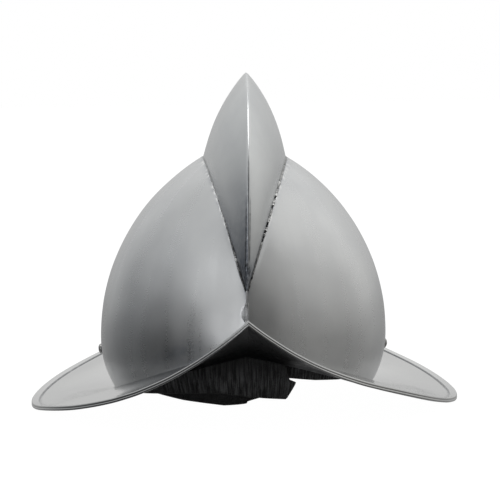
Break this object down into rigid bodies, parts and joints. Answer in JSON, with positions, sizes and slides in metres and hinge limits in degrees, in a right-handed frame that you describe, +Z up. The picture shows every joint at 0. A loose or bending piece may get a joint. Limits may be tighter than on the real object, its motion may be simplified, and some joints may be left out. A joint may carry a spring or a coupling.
{
  "type": "morion helmet",
  "caption": "Open steel war hat with a tall hollow keeled comb, a two-plate bowl, a boat-shaped brim with upturned beaks and turned edge, and a black leather head band.",
  "frame": {"origin": "on the standing plane, under the middle of the helmet's length and width", "axes": "+Z up, -Y the front that the wearer faces, +X to the left hand of the wearer"},
  "size_m": [0.3062, 0.368, 0.236],
  "materials": {
    "plate_steel": "satin, hand-ground, with soft uneven reflections",
    "comb_steel": "satin, hand-ground, slightly blued beside its welds",
    "brim_steel": "satin with fine streaks",
    "rivet_steel": "dull, darkened",
    "band_leather": "black, finely grained, low sheen"
  },
  "bodies": {
    "root": {"bowl_left": "plate_steel", "bowl_right": "plate_steel", "comb": "comb_steel", "brim": "brim_steel", "rivet_left": "rivet_steel", "rivet_right": "rivet_steel", "head_band": "band_leather"}
  },
  "joints": []
}
